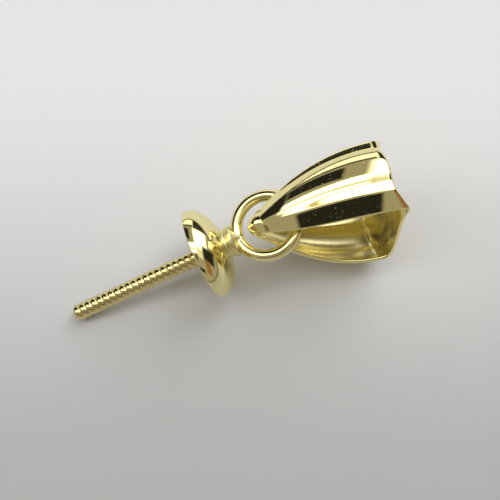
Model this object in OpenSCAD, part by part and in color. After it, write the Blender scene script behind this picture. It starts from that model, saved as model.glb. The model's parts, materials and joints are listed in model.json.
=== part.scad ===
// Pearl bail finding: a threaded peg with a cup, a ring soldered to the cup, and a fluted bail
// folded from thin sheet that hangs loose on the ring. It lies on a table, as it does by itself:
// on the tip of its post, on the rim of its cup and on the lower leaf of the bail.
// Lengths are in millimetres. +X runs from the post to the bail, and +Z is up.

/* [Post] */
// Outside diameter of the threaded post
post_dia = 1.0; // [0.8:0.05:1.2]
// Length of the post, from the plane of the cup's rim to the tip
post_len = 8.5; // [6.5:0.1:10]
// Distance from one thread turn to the next
thread_pitch = 0.39; // [0.32:0.01:0.5]
// Depth of the thread
thread_depth = 0.06; // [0.03:0.01:0.09]
// Width of the crest of a thread turn
thread_crest = 0.12; // [0.08:0.01:0.16]
// Length of the plain end at the tip
tip_plain = 0.35; // [0.2:0.05:0.6]
// Chamfer around the tip
tip_chamfer = 0.08; // [0.04:0.01:0.12]

/* [Cup] */
// Outside diameter of the cup's rim
cup_dia = 5.5; // [4.5:0.1:6.5]
// Outside depth of the cup, from the plane of the rim to the apex
cup_depth = 1.55; // [1.2:0.05:1.9]
// Thickness of the cup at its apex
cup_wall = 0.25; // [0.2:0.01:0.35]
// Width of the flat edge of the rim
cup_rim = 0.14; // [0.1:0.01:0.2]

/* [Neck and solder] */
// Diameter of the neck between the cup and the ring
neck_dia = 1.76; // [1.4:0.02:2]
// Length of the neck, from the cup's apex to the ring's wire
neck_len = 0.39; // [0.3:0.01:0.6]
// Diameter of the solder collar around the foot of the ring
solder_dia = 1.92; // [1.8:0.02:2.2]
// Length of the solder collar
solder_len = 0.6; // [0.5:0.01:0.7]

/* [Ring] */
// Inside diameter of the ring
ring_inside = 2.88; // [2.7:0.02:3.4]
// Diameter of the ring's wire
ring_wire = 0.72; // [0.6:0.02:0.8]

/* [Bail] */
// Length of the bail, from its nose to its folded end
bail_len = 8.02; // [7.7:0.01:8.6]
// Width between the edges of a leaf at the folded end
bail_width = 4.83; // [4.5:0.01:5.3]
// Height between the edges of the two leaves at the folded end
bail_height = 4.96; // [4.6:0.01:5.3]
// Width of the nose
nose_width = 0.8; // [0.6:0.05:1.2]
// Outside radius of the fold at the nose
nose_radius = 0.42; // [0.38:0.01:0.5]
// Thickness of the sheet
sheet = 0.2; // [0.15:0.01:0.22]
// Length over which the leaf turns into the folded end
fold_len = 1.07; // [0.8:0.01:1.2]

/* [Flutes] */
// Width of the middle lobe, from groove to groove, at the folded end
lobe_width = 2.3; // [2:0.05:2.5]
// Distance between the two ridges at the folded end
ridge_spacing = 3.55; // [3.3:0.05:3.8]
// Height of the middle lobe above the edges of its leaf, at the folded end
lobe_height = 1.36; // [1.26:0.01:1.42]
// Height of the grooves above the edges of their leaf, at the folded end
groove_height = 1.06; // [1:0.01:1.12]
// Height of the ridges above the edges of their leaf, at the folded end
ridge_height = 0.99; // [0.92:0.01:1]
// How far the grooves lie back at the folded end
groove_set_back = 0.18; // [0.1:0.01:0.22]
// How far the pointed corners of the upper leaf stand out
corner_reach = 0.85; // [0.5:0.01:0.95]

/* [Lie] */
// Turn of the bail to the side, about the upright
bail_turn = -8.8; // [-10:0.1:-7]
// Free height between a leaf and the ring's wire, where the wire is furthest into the bail
wire_play = 0.86; // [0.8:0.01:0.95]
// Height of the nose over the plane of the ring
nose_lift = 0.51; // [0.45:0.01:0.55]
// Distance of the nose from the middle plane of the ring's axis, to the left
nose_side = 0.1; // [0.05:0.01:0.12]

/* [Detail] */
// Steps along a leaf
leaf_steps = 30; // [20:1:36]
// Steps around half of the folded end
fold_steps = 12; // [8:1:14]
// Steps across half of the middle lobe
lobe_steps = 5; // [3:1:6]

/* [Hidden] */
$fn = 96;
gold = [0.93, 0.8, 0.4];
// Steps of the cup's quarter arc, and halvings of a search for a place or an angle
arc_steps = 14;
bisections = 24;
// Length of the taper at each end of the solder collar, and how deep it starts in the neck
solder_taper = 0.2;
solder_sink = 0.07;
// Radius of the collar's far end, and how far the neck stops short of that end
solder_face_r = 0.64;
neck_short = 0.18;
// Powers for how fast the bail widens, and how full its side and its folded end are
widen_power = 2.6;
side_power = 0.93;
end_power = 4.17;
// Power for how the steps along a leaf crowd towards the nose
crowd_power = 1.6;
// Place of the ridges at the nose, as a share of their place at the folded end
ridge_at_nose = 0.795;
// Powers for how the pointed corners grow along the bail, and up the folded end
corner_power = 5;
corner_level_power = 5;
// Power for how fast the thickness of the sheet turns square to its slope, from the nose on
tilt_power = 0.2;
// Lowest and highest pitch that the search for the bail's rest looks at
lowest_pitch = -25;
highest_pitch = 40;

post_r = post_dia / 2;
cup_r = cup_dia / 2;
neck_r = neck_dia / 2;
solder_r = solder_dia / 2;
wire_r = ring_wire / 2;
ring_r = ring_inside / 2 + wire_r;
foot_x = cup_depth + neck_len + wire_r;
ring_x = foot_x + ring_r;
in_apex_x = cup_depth - cup_wall / 2;
half_height = bail_height / 2;
half_lobe = lobe_width / 2;
ridge_y = ridge_spacing / 2;
leaf_len = bail_len - fold_len;

// Lean of the peg on its tip and its rim, and the place of the rim's centre over the table
lean = atan((cup_r - post_r) / (post_len - tip_chamfer));
rim_z = cup_r * cos(lean);

function clamp(x, low, high) = min(max(x, low), high);
function mix(a, b, share) = a + (b - a) * share;

// Point of the peg's own frame, along its axis and up across it, set on the table
function peg_point(along, up) =
    [along * cos(lean) - up * sin(lean), 0, rim_z + along * sin(lean) + up * cos(lean)];

// Side of the bail: height of a leaf's edge over the middle plane, at a distance from the nose
function nose_height(x) =
    nose_radius * sqrt(1 - pow(1 - clamp(x / nose_radius, 0, 1), 2));
function leaf_height(x) =
    max(half_height * pow(sin(90 * clamp(x / leaf_len, 0, 1)), side_power), nose_height(x));
function leaf_point(i) =
    let (x = leaf_len * pow(i / leaf_steps, crowd_power)) [x, leaf_height(x)];
function fold_point(i) =
    let (turn = 90 * i / fold_steps)
    [leaf_len + fold_len * pow(sin(turn), 2 / end_power), half_height * pow(cos(turn), 2 / end_power)];
half_side = concat([for (i = [0 : leaf_steps]) leaf_point(i)], [for (i = [1 : fold_steps]) fold_point(i)]);
half_count = len(half_side) - 1;
stations = 2 * half_count;
function side_point(i) =
    let (k = (i + stations) % stations)
    k <= half_count ? half_side[k] : [half_side[stations - k][0], -half_side[stations - k][1]];
function side_normal(i) =
    let (d = side_point(i + 1) - side_point(i - 1)) [-d[1], d[0]] / norm(d);

// Across the bail: half its width at a share of its length, and the places of its creases
// as shares of that half width
function half_width(share) =
    mix(nose_width, bail_width, 1 - pow(1 - clamp(share, 0, 1), widen_power)) / 2;
groove_at = lobe_width / bail_width;
function ridge_at(share) = ridge_spacing / bail_width * mix(ridge_at_nose, 1, share);
function across(share) = concat(
    [-1, -ridge_at(share)],
    [for (i = [-lobe_steps : lobe_steps]) groove_at * i / lobe_steps],
    [ridge_at(share), 1]);

// Height of the sheet over the edges of its leaf, and how far it lies back at the folded end
function rise(v, ridge) =
    v <= groove_at ? mix(lobe_height, groove_height, pow(v / groove_at, 2)) :
    v <= ridge ? mix(groove_height, ridge_height, (v - groove_at) / (ridge - groove_at)) :
    mix(ridge_height, 0, (v - ridge) / (1 - ridge));
function set_back(v, ridge) =
    v <= groove_at ? groove_set_back * pow(v / groove_at, 2) :
    v <= ridge ? mix(groove_set_back, 0, (v - groove_at) / (ridge - groove_at)) : 0;
function corner(v, ridge, share, level) =
    corner_reach * clamp((v - ridge) / (1 - ridge), 0, 1)
    * pow(share, corner_power) * pow(clamp(level, 0, 1), corner_level_power);

// Angle by which the sheet falls away to the side at one of its places across
function fall(places, k, ridge) =
    let (v1 = places[max(k - 1, 0)], v2 = places[min(k + 1, len(places) - 1)])
    atan((rise(abs(v1), ridge) - rise(abs(v2), ridge)) / ((v2 - v1) * bail_width / 2));

// Point of the sheet at a station and one of its places across, a depth below its outside
function sheet_point(i, places, k, depth) =
    let (
        v = places[k],
        side = side_point(i),
        out = side_normal(i),
        share = clamp(side[0] / bail_len, 0, 1),
        width = half_width(share),
        ridge = ridge_at(share),
        level = side[1] / half_height,
        up = rise(abs(v), ridge) * width / (bail_width / 2),
        end_part = clamp(out[0], 0, 1),
        nose_part = clamp(out[0], -1, 0),
        ahead = corner(abs(v), ridge, share, level) - set_back(abs(v), ridge) * end_part,
        tilt = fall(places, k, ridge) * pow(share, tilt_power) * norm([nose_part, out[1]])
    )
    [
        side[0] + nose_part * up + ahead - out[0] * cos(tilt) * depth,
        v * width - sin(tilt) * depth,
        side[1] + out[1] * (up - cos(tilt) * depth)
    ];

section_count = 2 * len(across(0));
function section(i) =
    let (places = across(clamp(side_point(i)[0] / bail_len, 0, 1)), last = len(places) - 1)
    concat(
        [for (k = [0 : last]) sheet_point(i, places, k, 0)],
        [for (k = [last : -1 : 0]) sheet_point(i, places, k, sheet)]);
bail_points = [for (i = [0 : stations - 1]) each section(i)];
bail_faces = [
    for (i = [0 : stations - 1], k = [0 : section_count - 1])
        let (
            i2 = (i + 1) % stations,
            k2 = (k + 1) % section_count,
            a = i * section_count + k,
            b = i * section_count + k2,
            c = i2 * section_count + k2,
            d = i2 * section_count + k
        )
        each [[a, b, c], [a, c, d]]
];

// Roll that lays the lower leaf on the table along the line that touches its round middle lobe
// and one of its ridges
lobe_curve = (lobe_height - groove_height) / pow(half_lobe, 2);
touch_y = ridge_y - sqrt(max(0, pow(ridge_y, 2) - (lobe_height - ridge_height) / lobe_curve));
bail_roll = -atan(2 * lobe_curve * min(touch_y, half_lobe));

// Distance of the wire from the nose at which the leaves leave the wire its play
function wire_seat(low, high, n) =
    let (middle = (low + high) / 2)
    n == 0 ? middle :
    leaf_height(middle) - sheet < wire_r + wire_play
        ? wire_seat(middle, high, n - 1) : wire_seat(low, middle, n - 1);
nose_x = ring_x + ring_r - wire_seat(0, leaf_len, bisections);
nose_place = peg_point(nose_x, nose_lift) + [0, nose_side, 0];

// Pitch at which the lowest point of the rolled bail comes down on the table
rolled = [for (p = bail_points) [p[0], p[1] * sin(bail_roll) + p[2] * cos(bail_roll)]];
function lowest(pitch) = nose_place[2] + min([for (p = rolled) p[1] * cos(pitch) - p[0] * sin(pitch)]);
function rest_pitch(low, high, n) =
    let (middle = (low + high) / 2)
    n == 0 ? middle : lowest(middle) > 0 ? rest_pitch(middle, high, n - 1) : rest_pitch(low, middle, n - 1);
bail_pitch = rest_pitch(lowest_pitch, highest_pitch, bisections);

// Point of the bail's own frame, set on the table
function turned(p) =
    let (
        y1 = p[1] * cos(bail_roll) - p[2] * sin(bail_roll),
        z1 = p[1] * sin(bail_roll) + p[2] * cos(bail_roll),
        x2 = p[0] * cos(bail_pitch) + z1 * sin(bail_pitch),
        z2 = z1 * cos(bail_pitch) - p[0] * sin(bail_pitch)
    )
    nose_place + [x2 * cos(bail_turn) - y1 * sin(bail_turn), x2 * sin(bail_turn) + y1 * cos(bail_turn), z2];
placed_bail = [for (p = bail_points) turned(p)];

// Middle of the whole part in plan, which is put over the origin
low_x = peg_point(-post_len, post_r - tip_chamfer)[0];
high_x = max([for (p = placed_bail) p[0]]);
low_y = min(min([for (p = placed_bail) p[1]]), -cup_r);
high_y = max(max([for (p = placed_bail) p[1]]), cup_r);
middle_x = (low_x + high_x) / 2;
middle_y = (low_y + high_y) / 2;

// Turned profile of the post, from the tip to inside the apex of the cup
turns = floor((post_len - tip_plain) / thread_pitch);
flank = (thread_pitch - thread_crest) / 2;
module post() {
    groove_r = post_r - thread_depth;
    thread_start = -post_len + tip_plain;
    rotate([0, 90, 0])
        rotate_extrude()
            polygon(concat(
                [[0, -post_len], [post_r - tip_chamfer, -post_len], [post_r, -post_len + tip_chamfer]],
                [for (i = [0 : turns - 1]) let (z = thread_start + i * thread_pitch) each [
                    [post_r, z],
                    [groove_r, z + flank],
                    [post_r, z + flank * 2]
                ]],
                [[post_r, in_apex_x], [0, in_apex_x]]));
}

module cup() {
    inside_r = cup_r - cup_rim;
    inside_depth = cup_depth - cup_wall;
    rotate([0, 90, 0])
        rotate_extrude()
            polygon(concat(
                [for (i = [0 : arc_steps]) let (turn = 90 * i / arc_steps)
                    [cup_r * cos(turn), cup_depth * sin(turn)]],
                [for (i = [arc_steps : -1 : 0]) let (turn = 90 * i / arc_steps)
                    [inside_r * cos(turn), inside_depth * sin(turn)]]));
}

module neck() {
    translate([in_apex_x, 0, 0])
        rotate([0, 90, 0])
            cylinder(h = foot_x - neck_short - in_apex_x, r = neck_r);
}

module solder() {
    start = foot_x - solder_len;
    rotate([0, 90, 0])
        rotate_extrude()
            polygon([
                [0, start], [neck_r - solder_sink, start],
                [solder_r, start + solder_taper], [solder_r, foot_x - solder_taper],
                [solder_face_r, foot_x], [0, foot_x]]);
}

module ring() {
    translate([ring_x, 0, 0])
        rotate_extrude()
            translate([ring_r, 0])
                circle(d = ring_wire);
}

module cup_peg() {
    color(gold)
        translate([-middle_x, -middle_y, rim_z])
            rotate([0, -lean, 0]) {
                post();
                cup();
                neck();
                solder();
                ring();
            }
}

module bail() {
    color(gold)
        translate([-middle_x, -middle_y, 0])
            polyhedron(points = placed_bail, faces = bail_faces, convexity = 8);
}

cup_peg();
bail();
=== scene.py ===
"""Looks of a pearl bail finding: a threaded peg with a cup and a soldered ring, and a fluted loose bail."""

import json
import math

import bmesh
import bpy
import numpy as np
from mathutils import Matrix, Vector


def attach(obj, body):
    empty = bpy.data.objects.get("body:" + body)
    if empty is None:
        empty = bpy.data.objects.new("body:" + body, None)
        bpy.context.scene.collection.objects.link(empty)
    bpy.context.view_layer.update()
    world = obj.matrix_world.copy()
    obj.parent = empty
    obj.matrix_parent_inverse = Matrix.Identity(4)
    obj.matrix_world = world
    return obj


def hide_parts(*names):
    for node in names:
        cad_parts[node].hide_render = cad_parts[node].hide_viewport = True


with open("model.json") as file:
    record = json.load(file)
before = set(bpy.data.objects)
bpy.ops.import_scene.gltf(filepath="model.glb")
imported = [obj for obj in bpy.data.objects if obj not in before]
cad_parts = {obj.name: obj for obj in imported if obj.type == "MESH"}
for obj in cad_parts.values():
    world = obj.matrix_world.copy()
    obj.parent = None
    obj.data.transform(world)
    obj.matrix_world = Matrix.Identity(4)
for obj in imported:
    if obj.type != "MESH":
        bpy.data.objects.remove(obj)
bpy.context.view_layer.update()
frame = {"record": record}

MM = 0.001

# Sizes of the peg, in millimetres, as in the part's source
POST_R = 0.5
POST_LEN = 8.5
THREAD_PITCH = 0.39
CUP_R = 2.75
CUP_DEPTH = 1.55
CUP_WALL = 0.25
CUP_RIM = 0.14
NECK_R = 0.88
NECK_LEN = 0.39
SOLDER_R = 0.96
WIRE_R = 0.36
RING_R = 1.8

# Sizes and place of the bail, in millimetres, its turn in degrees, and the powers and the share
# that shape it, as in the part's source
BAIL_LEN = 8.02
BAIL_WIDTH = 4.83
BAIL_HEIGHT = 4.96
NOSE_WIDTH = 0.8
NOSE_RADIUS = 0.42
SHEET = 0.2
FOLD_LEN = 1.07
LOBE_WIDTH = 2.3
RIDGE_SPACING = 3.55
LOBE_HEIGHT = 1.36
GROOVE_HEIGHT = 1.06
RIDGE_HEIGHT = 0.99
GROOVE_SET_BACK = 0.18
CORNER_REACH = 0.85
BAIL_TURN = -8.8
WIRE_PLAY = 0.86
NOSE_LIFT = 0.51
NOSE_SIDE = 0.1
WIDEN_POWER = 2.6
SIDE_POWER = 0.93
END_POWER = 4.17
CROWD_POWER = 1.6
RIDGE_AT_NOSE = 0.795
CORNER_POWER = 5
CORNER_LEVEL_POWER = 5

# Finer shape than the source has, in millimetres: the round thread and its rounded tip, the
# creases of the sheet outside and inside, the bulge of the sheet's rounded edges, and how much
# lower the near ridges are
THREAD_DEPTH = 0.1
TIP_ROUNDING = 0.14
CREASE_ROUNDING = 0.06
INNER_ROUNDING = 0.15
EDGE_BULGE = 0.05
RIDGE_DIP = 0.1

# How near a thread's crest comes to a full half circle, and the power that makes the dome full
THREAD_ROUNDNESS = 0.97
CUP_FULLNESS = 2.1

# The most that a crease's rounding takes of the band between groove and ridge, outside and inside
CREASE_LIMIT = 0.3
INNER_LIMIT = 0.5

# The ring's seam: its place in half turns from the far end, its depth in millimetres and its
# width in radians
SEAM_TURN = 1.005
SEAM_DEPTH = 0.05
SEAM_WIDTH = 0.022

# Share of the cup's depth at which the neck starts
NECK_START = 0.8

# The neck and solder, in millimetres: how much thinner the neck is between its beads, and each
# bead's place from the cup's apex, height and width. From the solder's end: its lump in the same
# way, from where to where it rises and falls off, and the height of its fall
NECK_SINK = 0.1
NECK_BEADS = ((-0.02, 0.08, 0.08), (0.2, 0.08, 0.09))
SOLDER_LUMP = (-0.34, 0.12, 0.14)
SOLDER_RISE = (-0.6, -0.3)
SOLDER_FALL = (-0.28, 0)
FALL_HEIGHT = 0.42

# Unevenness of the neck and solder: height in millimetres, waves in a turn, slant and phase, and
# where it fades in behind the neck's start, in millimetres
LUMPS = (
    (0.02, 3, 5, 0),
    (0.01, 5, -9, 1),
)
LUMPS_FADE = (0.2, 0.5)

# Numbers of rows and columns of the meshes. Those of the sheet run from its middle to its edge:
# the lobe, its groove, the band, its ridge and the side.
TURNED_STEPS = 160
POST_STEPS = 72
ROWS_PER_THREAD = 20
DOME_ROWS = 48
LIP_ROWS = 9
NECK_ROWS = 48
RING_STEPS = 288
WIRE_STEPS = 48
LEAF_ROWS = 110
FOLD_ROWS = 50
SHEET_COLUMNS = (22, 6, 8, 6, 14)
EDGE_STEPS = 7

# Range and halvings of the search for the pitch at which the bail touches the table
PITCH_RANGE = (-25.0, 40.0)
PITCH_HALVINGS = 40

# Camera: the point it looks at and its distance in millimetres, its angles in degrees, the
# pixels that a millimetre takes there in an image 500 pixels wide, and what it sees, in metres
LOOK_AT = (0.984, -0.083, 2.5)
CAMERA_DISTANCE = 40.0
CAMERA_AZIMUTH = -21.32
CAMERA_ELEVATION = 71.0
PIXELS_PER_MM = 17.02
IMAGE_PIXELS = 500
CLIP_RANGE = (0.001, 10)

# Colours of the metal
GOLD = (0.92, 0.82, 0.41)
THREAD_GOLD = (0.82, 0.7, 0.33)
SOLDER_GOLD = (0.9, 0.84, 0.5)

# Noises of the metal: cells to the metre, and detail
TARNISH_NOISE = (600.0, 4.0)
SPECKS_NOISE = (9000.0, 1.0)
MARKS_NOISE = (900.0, 3.0)
FINE_MARKS_NOISE = (2500.0, 3.0)

# Their use: where tarnish gives way to clean metal in its noise, where a speck starts and is full,
# the least and most roughness as shares of the given one, and the marks' depth in millimetres
TARNISH_RANGE = (0.3, 0.7)
SPECKS_RANGE = (0.7, 0.75)
WEAR_RANGE = (0.7, 1.4)
MARKS_DEPTH = 0.01

# The paper: its half size in millimetres, its tone on the far side and on the near side, and the
# distance from the middle at which each is reached. The darker near tone is painted shade: it
# stands in for light that falls off towards the camera's side
PAPER_HALF = 300.0
PAPER_FAR = (0.9, 0.91, 0.94)
PAPER_NEAR_PAINTED_SHADE = (0.5, 0.505, 0.52)
PAPER_FADE = 15.0
PAPER_ROUGHNESS = 0.9

# The room as the metal sees it. Its directions are given in degrees from straight up: to the
# right, and towards the camera's side. Each row is a soft-edged patch: left, right, far, near,
# how far its far and near edges move towards the camera for each degree to the right,
# softness, and the light's red, green and blue. Later rows lie over earlier ones.
ROOM_GREY = (0.37, 0.35, 0.29)
ROOM = (
    (-62, 8, -18, 8, -0.2, 5, (2.6, 2.6, 2.6)),
    (-62, 8, -3.5, 0.5, -0.2, 3, (0.7, 0.6, 0.35)),
    (8, 34, -16, 16, 0, 10, (0.9, 0.9, 0.75)),
    (6, 55, -60, -11, 0, 12, (2.8, 2.8, 2.8)),
    (-70, 10, -90, -64, 0, 3, (1.3, 1.3, 1.25)),
    (10, 90, -90, -61, 0, 4, (0.03, 0.03, 0.03)),
    (-85, 8, -69, -63.6, -0.066, 1.5, (0.03, 0.03, 0.03)),
    (-62, -17, -55, -22, 0, 5, (0.02, 0.02, 0.02)),
    (-90, -62, -75, 10, 0, 4, (0.02, 0.02, 0.02)),
    (-43, 25, 48, 60, -0.089, 4, (0.02, 0.02, 0.02)),
    (36, 77, -24, 14, 0, 8, (0.02, 0.02, 0.02)),
    (38, 60, 11, 52, 0, 9, (0.34, 0.15, 0.07)),
    (-9, 3, 12, 28, 0, 5, (0.02, 0.02, 0.02)),
)

# The plain grey from the horizon down, and where it starts, in degrees from straight up
HORIZON = 87
HORIZON_GREY = (0.15, 0.14, 0.12)

# The least divisor, so that straight up has a direction too
LEAST_DIVISOR = 0.001

mounts = {mount["name"]: mount for mount in frame["record"]["mounts"]}


def link(name, vertices, faces, material, smooth=True):
    """Makes a mesh object from points in millimetres, with its faces turned outward."""
    mesh = bpy.data.meshes.new(name)
    mesh.from_pydata([tuple(point) for point in np.asarray(vertices) * MM], [], faces)
    shape = bmesh.new()
    shape.from_mesh(mesh)
    bmesh.ops.recalc_face_normals(shape, faces=shape.faces)
    shape.to_mesh(mesh)
    shape.free()
    mesh.polygons.foreach_set("use_smooth", [smooth] * len(mesh.polygons))
    mesh.materials.append(material)
    mesh.update()
    piece = bpy.data.objects.new(name, mesh)
    bpy.context.scene.collection.objects.link(piece)
    return piece


def dress(piece, node):
    """Sets a piece on the body and lets it stand for its CAD node."""
    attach(piece, "root")
    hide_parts(node)
    return piece


def grid_faces(rows, columns, wrap_rows=True):
    """Quads between neighbouring points of a grid. Its last column joins its first, and rows may too."""
    faces = []
    for row in range(rows if wrap_rows else rows - 1):
        here, there = row * columns, (row + 1) % rows * columns
        for column in range(columns):
            after = (column + 1) % columns
            faces.append((here + column, here + after, there + after, there + column))
    return faces


def full_turn(steps):
    """Evenly spaced angles of a full turn, in radians."""
    return np.arange(steps) * 2 * math.pi / steps


def smooth_step(x, low, high):
    """0 below low, 1 above high and a smooth rise between them."""
    share = np.clip((x - low) / (high - low), 0, 1)
    return share * share * (3 - 2 * share)


def bell(x, centre, width):
    """1 at the centre, falling smoothly to 0 at a few widths from it."""
    return np.exp(-((x - centre) / width) ** 2)


def peg_frame():
    """The peg's frame from the mounts: its rim's centre, and the ways from tip to ring, sideways and up."""
    axis = -Vector(mounts["cup_seat"]["axis"]).normalized()
    seat = Vector(mounts["cup_seat"]["pos_m"]) / MM
    centre = seat - axis * (CUP_DEPTH - CUP_WALL)
    side = Vector((0, 1, 0))
    return np.array(centre), np.array(axis), np.array(side), np.array(axis.cross(side))


RIM_CENTRE, AXIS, SIDE, UP = peg_frame()
RING_ALONG = CUP_DEPTH + NECK_LEN + WIRE_R + RING_R
AZIMUTH = math.radians(CAMERA_AZIMUTH)
TOWARD_CAMERA = np.array([math.sin(AZIMUTH), -math.cos(AZIMUTH)])


def on_peg(along, side, up):
    """Points of the peg's frame in the frame of the whole part."""
    along, side, up = np.broadcast_arrays(along, side, up)
    places = RIM_CENTRE + along[..., None] * AXIS + side[..., None] * SIDE + up[..., None] * UP
    return places.reshape(-1, 3)


def turned(name, profile, material, waves=None):
    """A closed solid turned round the peg's axis, from points (along, radius) with both ends on the axis.

    Waves is a function of the place along and the angle, and adds to the radius.
    """
    steps, rows = TURNED_STEPS, len(profile) - 2
    angles = full_turn(steps)
    along = np.repeat(profile[1:-1, :1], steps, axis=1)
    radius = np.repeat(profile[1:-1, 1:], steps, axis=1)
    if waves:
        radius = radius + waves(along, angles)
    vertices = np.vstack([on_peg(along, radius * np.cos(angles), radius * np.sin(angles)),
                          on_peg(profile[0, 0], 0.0, 0.0),
                          on_peg(profile[-1, 0], 0.0, 0.0)])
    faces = grid_faces(rows, steps, wrap_rows=False)
    first, last, last_row = rows * steps, rows * steps + 1, (rows - 1) * steps
    for column in range(steps):
        after = (column + 1) % steps
        faces.append((first, after, column))
        faces.append((last, last_row + column, last_row + after))
    return link(name, vertices, faces, material)


class Nodes:
    """Adds nodes to a material or a world. A value is a number, a colour or another node's output."""

    def __init__(self, owner):
        owner.use_nodes = True
        self.tree = owner.node_tree

    def new(self, kind, **settings):
        """A new node with these settings."""
        node = self.tree.nodes.new(kind)
        for name, value in settings.items():
            setattr(node, name, value)
        return node

    def plug(self, value, socket):
        """Links another node's output to a socket, or sets the socket's own value."""
        if isinstance(value, bpy.types.NodeSocket):
            self.tree.links.new(value, socket)
        else:
            socket.default_value = value

    def fill(self, node, **values):
        """Plugs values into the node's sockets of these names, where an underscore is a space."""
        for name, value in values.items():
            self.plug(value, node.inputs[name.replace("_", " ")])

    def calculate(self, operation, *values):
        """Result of an operation on numbers."""
        node = self.new("ShaderNodeMath", operation=operation)
        for value, socket in zip(values, node.inputs):
            self.plug(value, socket)
        return node.outputs[0]

    def part_along(self, vector, direction):
        """How far a vector goes in a direction."""
        node = self.new("ShaderNodeVectorMath", operation="DOT_PRODUCT")
        self.plug(vector, node.inputs[0])
        self.plug(direction, node.inputs[1])
        return node.outputs["Value"]

    def rise(self, value, low, high, lowest=0.0, highest=1.0, kind="LINEAR"):
        """A rise from the lowest to the highest result while the value goes from low to high."""
        node = self.new("ShaderNodeMapRange", interpolation_type=kind)
        self.fill(node, Value=value, From_Min=low, From_Max=high, To_Min=lowest, To_Max=highest)
        return node.outputs["Result"]

    def mix(self, share, below, above):
        """Colour between two others."""
        node = self.new("ShaderNodeMix", data_type="RGBA")
        self.fill(node, Factor=share, A=below, B=above)
        return node.outputs["Result"]

    def noise(self, place, scale, detail):
        """Smooth noise from 0 to 1."""
        node = self.new("ShaderNodeTexNoise")
        self.fill(node, Vector=place, Scale=scale, Detail=detail)
        return node.outputs["Fac"]


def metal(name, colour, roughness, marks, marks_noise=MARKS_NOISE, tarnish=0.0, satin=0.0, specks=0.0):
    """Polished plated metal with fine polishing marks, faintly uneven roughness and tarnish in patches.

    Satin is how much rougher it is where the mesh's value of that name is 1, and specks how much at specks.
    """
    material = bpy.data.materials.new(name)
    nodes = Nodes(material)
    place = nodes.new("ShaderNodeTexCoord").outputs["Object"]
    patches = nodes.noise(place, *TARNISH_NOISE)
    dull = [share * (1 - tarnish) for share in colour]
    shade = nodes.mix(nodes.rise(patches, *TARNISH_RANGE), (*dull, 1), (*colour, 1))
    least, most = (roughness * share for share in WEAR_RANGE)
    rough = nodes.rise(patches, 0.0, 1.0, least, most)
    if satin:
        inner = nodes.new("ShaderNodeAttribute", attribute_name="satin")
        rough = nodes.calculate("MULTIPLY_ADD", inner.outputs["Fac"], satin, rough)
    if specks:
        dots = nodes.rise(nodes.noise(place, *SPECKS_NOISE), *SPECKS_RANGE)
        rough = nodes.calculate("MULTIPLY_ADD", dots, specks, rough)
    relief = nodes.new("ShaderNodeBump")
    nodes.fill(relief, Strength=marks, Distance=MARKS_DEPTH * MM, Height=nodes.noise(place, *marks_noise))
    shader = nodes.tree.nodes["Principled BSDF"]
    nodes.fill(shader, Metallic=1.0, Base_Color=shade, Roughness=rough, Normal=relief.outputs["Normal"])
    return material


def post(material):
    """Threaded post: a helix of round bead-like turns, with a rounded end."""
    around = POST_STEPS
    length = POST_LEN + CUP_DEPTH - CUP_WALL / 2
    rows = int(length / THREAD_PITCH * ROWS_PER_THREAD)
    along = (-POST_LEN + np.linspace(0, length, rows))[:, None]
    angles = full_turn(around)
    turn = (along / THREAD_PITCH - angles / (2 * math.pi)) % 1
    bead = 1 - np.sqrt(np.clip(1 - (2 * turn - 1) ** 2 * THREAD_ROUNDNESS, 0, 1))
    from_tip = along + POST_LEN
    rounding = TIP_ROUNDING * (1 - np.sqrt(1 - np.clip(1 - from_tip / TIP_ROUNDING, 0, 1) ** 2))
    radius = POST_R - rounding - THREAD_DEPTH * smooth_step(from_tip, 0, TIP_ROUNDING) * bead
    vertices = on_peg(along, radius * np.cos(angles), radius * np.sin(angles))
    faces = grid_faces(rows, around, wrap_rows=False)
    faces.append(tuple(reversed(range(around))))
    faces.append(tuple(range((rows - 1) * around, rows * around)))
    return dress(link("post", vertices, faces, material), "cup_peg")


def cup(material):
    """Domed cup of thin metal, whose profile runs from the hollow's apex over its round lip to the back."""
    turn = np.radians(np.linspace(0, 90, DOME_ROWS))
    power = 2 / CUP_FULLNESS
    dome = np.stack([np.sin(turn) ** power, np.cos(turn) ** power], axis=1)
    outside = dome * (CUP_DEPTH, CUP_R)
    inside = dome * (CUP_DEPTH - CUP_WALL, CUP_R - CUP_RIM)
    lip_r = CUP_RIM / 2
    lip_turn = np.radians(np.linspace(0, 180, LIP_ROWS)[1:-1])
    lip = np.stack([lip_r * (1 - np.sin(lip_turn)), CUP_R - lip_r - lip_r * np.cos(lip_turn)], axis=1)
    hollow, back = inside[:1:-1], outside[outside[:, 0] > CUP_RIM]
    profile = np.vstack([hollow, [(lip_r, CUP_R - CUP_RIM)], lip, [(lip_r, CUP_R)], back])
    profile[0, 1] = 0
    profile[-1, 1] = 0
    return dress(turned("cup", profile, material), "cup_peg")


def ring(material):
    """Ring of round wire, closed by a fine seam over its soldered foot."""
    turn = full_turn(RING_STEPS)[:, None]
    wire_turn = full_turn(WIRE_STEPS)
    wire = WIRE_R - SEAM_DEPTH * bell(turn, math.pi * SEAM_TURN, SEAM_WIDTH)
    radius = RING_R + wire * np.cos(wire_turn)
    vertices = on_peg(RING_ALONG + np.cos(turn) * radius, np.sin(turn) * radius, wire * np.sin(wire_turn))
    return dress(link("ring", vertices, grid_faces(RING_STEPS, WIRE_STEPS), material), "cup_peg")


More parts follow.
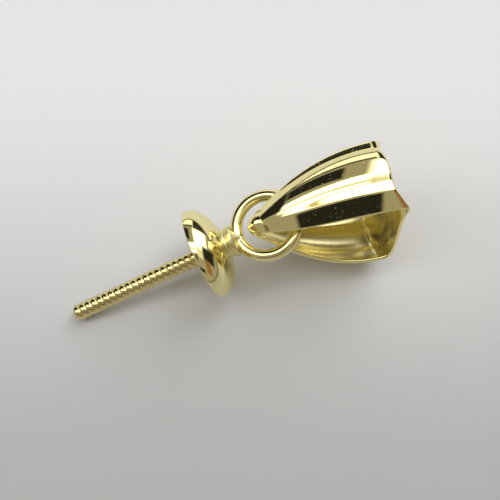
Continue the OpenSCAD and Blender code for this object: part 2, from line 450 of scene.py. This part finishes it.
def neck_and_solder(material):
    """Neck with two uneven beads, and the solder that runs up around the foot of the ring."""
    start, end = CUP_DEPTH * NECK_START, CUP_DEPTH + NECK_LEN + WIRE_R
    along = np.concatenate([[start], np.linspace(start, end, NECK_ROWS), [end]])
    from_end = along - end
    radius = NECK_R - NECK_SINK + (SOLDER_R - NECK_R) * smooth_step(from_end, *SOLDER_RISE)
    for place, height, width in NECK_BEADS:
        radius += height * bell(along, CUP_DEPTH + place, width)
    place, height, width = SOLDER_LUMP
    radius += height * bell(from_end, place, width)
    radius -= FALL_HEIGHT * smooth_step(from_end, *SOLDER_FALL)
    radius[0] = radius[-1] = 0

    def lumps(x, angle):
        """Unevenness of the radius."""
        total = 0
        for height, count, slant, phase in LUMPS:
            total = total + height * np.sin(count * angle + slant * x + phase)
        return total * smooth_step(x - start, *LUMPS_FADE)

    profile = np.stack([along, radius], axis=1)
    return dress(turned("neck_and_solder", profile, material, waves=lumps), "cup_peg")


def bail_side():
    """Outline of the bail from the side, as a closed loop of points (along, high) and outward normals."""
    leaf_len, half = BAIL_LEN - FOLD_LEN, BAIL_HEIGHT / 2
    x = leaf_len * np.linspace(0, 1, LEAF_ROWS) ** CROWD_POWER
    nose = NOSE_RADIUS * np.sqrt(1 - (1 - np.clip(x / NOSE_RADIUS, 0, 1)) ** 2)
    high = np.maximum(half * np.sin(math.pi / 2 * x / leaf_len) ** SIDE_POWER, nose)
    turn = np.radians(90 * np.linspace(0, 1, FOLD_ROWS)[1:])
    x = np.concatenate([x, leaf_len + FOLD_LEN * np.sin(turn) ** (2 / END_POWER)])
    high = np.concatenate([high, half * np.clip(np.cos(turn), 0, 1) ** (2 / END_POWER)])
    x = np.concatenate([x, x[-2:0:-1]])
    high = np.concatenate([high, -high[-2:0:-1]])
    step = np.stack([np.roll(x, -1) - np.roll(x, 1), np.roll(high, -1) - np.roll(high, 1)], axis=1)
    step /= np.linalg.norm(step, axis=1)[:, None]
    return x, high, np.stack([-step[:, 1], step[:, 0]], axis=1)


def share_columns(groove, ridge, rounding):
    """Shares of the half width, from one edge to the other, close together at the rounded creases."""
    middle, edge = np.zeros_like(ridge), np.ones_like(ridge)
    stops = [middle, groove - rounding, groove + rounding, ridge - rounding, ridge + rounding, edge]
    parts = []
    for low, high, steps in zip(stops[:-1], stops[1:], SHEET_COLUMNS):
        parts.append(low + (high - low) * np.arange(steps) / steps)
    half = np.concatenate(parts + [stops[-1]], axis=1)
    return np.concatenate([-half[:, :0:-1], half], axis=1)


def across_form(aside, groove, ridge, rounding, middle, at_groove, at_ridge, at_edge):
    """Height and slope of a form that is round to the groove and straight to the ridge and the edge.

    Both corners are rounded by a parabola, which reaches as far as the rounding to each side.
    """
    lobe_end = 2 * (at_groove - middle) / groove
    band = (at_ridge - at_groove) / (ridge - groove)
    side = (at_edge - at_ridge) / (1 - ridge)
    inner = np.minimum(aside, groove)
    height = middle + (at_groove - middle) * (inner / groove) ** 2 + lobe_end * (aside - inner)
    slope = 2 * (at_groove - middle) * inner / groove ** 2
    for corner, before, after in ((groove, lobe_end, band), (ridge, band, side)):
        past = aside - corner
        rounded = (past + rounding) ** 2 / (4 * rounding)
        bend = np.where(np.abs(past) < rounding, rounded, np.maximum(past, 0))
        height = height + (after - before) * bend
        slope = slope + (after - before) * np.clip((past + rounding) / (2 * rounding), 0, 1)
    return height, slope


def tilted(out_x, out_z, tilt):
    """The outward normal and the way along the sheet to the right, where it tilts sideways."""
    normal = np.stack([out_x * np.cos(tilt), np.sin(tilt), out_z * np.cos(tilt)], axis=2)
    rightward = np.stack([-out_x * np.sin(tilt), np.cos(tilt), -out_z * np.sin(tilt)], axis=2)
    return normal, rightward


def round_edge(first, last, outward):
    """Rows of points over the sheet's edge, from one face's last column to the other's."""
    middle = (first + last) / 2
    turns = np.radians(180 * np.arange(1, EDGE_STEPS + 1) / (EDGE_STEPS + 1))
    rows = [middle + (first - middle) * np.cos(turn) + EDGE_BULGE * np.sin(turn) * outward for turn in turns]
    return np.stack(rows, axis=1)


def bail_points():
    """The folded sheet, closed: outside, one rounded edge, inside and the other rounded edge."""
    x, high, out = bail_side()
    x, high, out_x, out_z = (row[:, None] for row in (x, high, out[:, 0], out[:, 1]))
    half_width, half_height = BAIL_WIDTH / 2, BAIL_HEIGHT / 2
    share = np.clip(x / BAIL_LEN, 0, 1)
    width = (NOSE_WIDTH + (BAIL_WIDTH - NOSE_WIDTH) * (1 - (1 - share) ** WIDEN_POWER)) / 2
    groove = LOBE_WIDTH / BAIL_WIDTH
    ridge = RIDGE_SPACING / BAIL_WIDTH * (RIDGE_AT_NOSE + (1 - RIDGE_AT_NOSE) * share)
    band = ridge - groove
    crease = np.minimum(CREASE_ROUNDING / width, band * CREASE_LIMIT)
    inner_crease = np.minimum(INNER_ROUNDING / half_width, band * INNER_LIMIT)
    across = share_columns(groove, ridge, crease)
    aside = np.abs(across)
    heights = (LOBE_HEIGHT, GROOVE_HEIGHT, RIDGE_HEIGHT - RIDGE_DIP * (across < 0), 0)
    rise, _ = across_form(aside, groove, ridge, crease, *heights)
    set_back, _ = across_form(aside, groove, ridge, crease, 0, GROOVE_SET_BACK, 0, 0)
    _, slope = across_form(aside, groove, ridge, inner_crease, *heights)

    up = rise * width / half_width
    end_part, nose_part = np.clip(out_x, 0, 1), np.clip(out_x, -1, 0)
    beyond_ridge = np.clip((aside - ridge) / (1 - ridge), 0, 1)
    level = np.clip(high / half_height, 0, 1)
    corner = CORNER_REACH * beyond_ridge * share ** CORNER_POWER * level ** CORNER_LEVEL_POWER
    reach = x + nose_part * up + corner - set_back * end_part
    outside = np.stack([reach, across * width, high + out_z * up], axis=2)

    tilt = -np.arctan(slope / half_width) * np.sign(across) * np.sqrt(share) * np.hypot(nose_part, out_z)
    normal, rightward = tilted(out_x, out_z, tilt)
    inside = outside - normal * SHEET
    right = round_edge(outside[:, -1], inside[:, -1], rightward[:, -1])
    left = round_edge(inside[:, 0], outside[:, 0], -rightward[:, 0])
    return np.concatenate([outside, right, inside[:, ::-1], left], axis=1)


def rotation(axis, degrees):
    """Rotation matrix about a named axis."""
    return np.array(Matrix.Rotation(math.radians(degrees), 3, axis))


def place_bail(points):
    """Lays the bail on the table as in the part's source: rolled onto its lower leaf, nose in the ring."""
    # The lower leaf rests on its lobe and far ridge, so it rolls by the slope of the line over both
    curve = (LOBE_HEIGHT - GROOVE_HEIGHT) / (LOBE_WIDTH / 2) ** 2
    ridge_y = RIDGE_SPACING / 2
    touch_y = ridge_y - math.sqrt(ridge_y ** 2 - (LOBE_HEIGHT - RIDGE_HEIGHT) / curve)
    roll = -math.degrees(math.atan(2 * curve * touch_y))
    leaf_len = BAIL_LEN - FOLD_LEN
    wire_room = WIRE_R + WIRE_PLAY + SHEET
    seat = leaf_len * math.asin((wire_room / (BAIL_HEIGHT / 2)) ** (1 / SIDE_POWER)) / (math.pi / 2)
    nose = on_peg(RING_ALONG + RING_R - seat, NOSE_SIDE, NOSE_LIFT)[0]
    # It pitches until its lowest point is on the table
    low, high = PITCH_RANGE
    for _ in range(PITCH_HALVINGS):
        pitch = (low + high) / 2
        turn = rotation("Y", pitch) @ rotation("X", roll)
        if nose[2] + (points @ turn.T)[:, 2].min() > 0:
            low = pitch
        else:
            high = pitch
    turn = rotation("Z", BAIL_TURN) @ rotation("Y", pitch) @ rotation("X", roll)
    return nose + points @ turn.T


def bail(material):
    """The fluted bail of folded sheet, which is satin on its inside."""
    points = bail_points()
    rows, columns = points.shape[:2]
    placed = place_bail(points.reshape(-1, 3))
    piece = link("bail", placed, grid_faces(rows, columns), material)
    # All columns of the inside, apart from a few beside its far edge
    inner = np.zeros((rows, columns))
    inner[:, (columns + EDGE_STEPS) // 2:columns - EDGE_STEPS] = 1
    satin = piece.data.attributes.new("satin", "FLOAT", "POINT")
    satin.data.foreach_set("value", inner.ravel())
    return dress(piece, "bail")


def floor():
    """Plain pale paper with painted shade: its colour falls off towards the camera's side, as the light does.
    """
    paper = bpy.data.materials.new("paper")
    nodes = Nodes(paper)
    place = nodes.part_along(nodes.new("ShaderNodeTexCoord").outputs["Object"], (*(-TOWARD_CAMERA), 0))
    # Painted shade: the paper's colour darkens towards the camera's side in place of light that falls off
    # there
    painted_shade_ramp = nodes.rise(place, -PAPER_FADE * MM, PAPER_FADE * MM, kind="SMOOTHSTEP")
    tone = nodes.mix(painted_shade_ramp, (*PAPER_NEAR_PAINTED_SHADE, 1), (*PAPER_FAR, 1))
    nodes.fill(nodes.tree.nodes["Principled BSDF"], Base_Color=tone, Roughness=PAPER_ROUGHNESS)
    corners = [(x * PAPER_HALF, y * PAPER_HALF, 0) for x, y in ((-1, -1), (1, -1), (1, 1), (-1, 1))]
    link("paper", corners, [(0, 1, 2, 3)], paper, smooth=False)


def room_directions(nodes):
    """Degrees from straight up, and their parts to the right and towards the camera's side."""
    direction = nodes.new("ShaderNodeTexCoord").outputs["Generated"]
    right = nodes.part_along(direction, (-TOWARD_CAMERA[1], TOWARD_CAMERA[0], 0))
    near = nodes.part_along(direction, (*TOWARD_CAMERA, 0))
    cosine = nodes.part_along(direction, (0, 0, 1))
    from_top = nodes.calculate("DEGREES", nodes.calculate("ARCCOSINE", cosine))
    squares = [nodes.calculate("MULTIPLY", part, part) for part in (right, near)]
    level = nodes.calculate("SQRT", nodes.calculate("ADD", *squares))
    scale = nodes.calculate("DIVIDE", from_top, nodes.calculate("MAXIMUM", level, LEAST_DIVISOR))
    return from_top, nodes.calculate("MULTIPLY", right, scale), nodes.calculate("MULTIPLY", near, scale)


def room():
    """World light that depends on the direction only: a grey room with bright and dark patches."""
    world = bpy.data.worlds.new("room")
    bpy.context.scene.world = world
    nodes = Nodes(world)
    from_top, x, y = room_directions(nodes)

    def within(place, low, high, soft):
        """1 between two places and 0 outside them, with soft edges."""
        rise = nodes.rise(place, low - soft / 2, low + soft / 2, kind="SMOOTHSTEP")
        fall = nodes.rise(place, high - soft / 2, high + soft / 2, kind="SMOOTHSTEP")
        return nodes.calculate("MULTIPLY", rise, nodes.calculate("SUBTRACT", 1.0, fall))

    light = (*ROOM_GREY, 1)
    for left, right, far, near, slant, soft, colour in ROOM:
        slanted = nodes.calculate("SUBTRACT", y, nodes.calculate("MULTIPLY", x, slant))
        patch = nodes.calculate("MULTIPLY", within(x, left, right, soft), within(slanted, far, near, soft))
        light = nodes.mix(patch, light, (*colour, 1))
    horizon = nodes.rise(from_top, HORIZON - 1, HORIZON, kind="SMOOTHSTEP")
    light = nodes.mix(horizon, light, (*HORIZON_GREY, 1))
    nodes.fill(nodes.tree.nodes["Background"], Color=light)


def camera():
    """Camera at the photo's angle and distance."""
    elevation = math.radians(CAMERA_ELEVATION)
    back = Vector((*(TOWARD_CAMERA * math.cos(elevation)), math.sin(elevation)))
    data = bpy.data.cameras.new("camera")
    data.lens = data.sensor_width * PIXELS_PER_MM * CAMERA_DISTANCE / IMAGE_PIXELS
    data.clip_start, data.clip_end = CLIP_RANGE
    holder = bpy.data.objects.new("camera", data)
    holder.location = (Vector(LOOK_AT) + back * CAMERA_DISTANCE) * MM
    holder.rotation_mode = "QUATERNION"
    holder.rotation_quaternion = (-back).to_track_quat("-Z", "Y")
    bpy.context.scene.collection.objects.link(holder)
    bpy.context.scene.camera = holder


bpy.context.scene.view_settings.view_transform = "Standard"
peg_gold = metal("polished_peg", GOLD, roughness=0.09, marks=0.12, marks_noise=FINE_MARKS_NOISE, tarnish=0.05)
post_gold = metal("threaded_post", THREAD_GOLD, roughness=0.11, marks=0.2, tarnish=0.15)
solder_gold = metal("solder", SOLDER_GOLD, roughness=0.36, marks=0.15, tarnish=0.12)
bail_gold = metal("polished_bail", GOLD, roughness=0.04, marks=0.12, marks_noise=FINE_MARKS_NOISE,
                  tarnish=0.04, satin=0.2, specks=0.4)

post(post_gold)
cup(peg_gold)
neck_and_solder(solder_gold)
ring(peg_gold)
bail(bail_gold)
floor()
room()
camera()
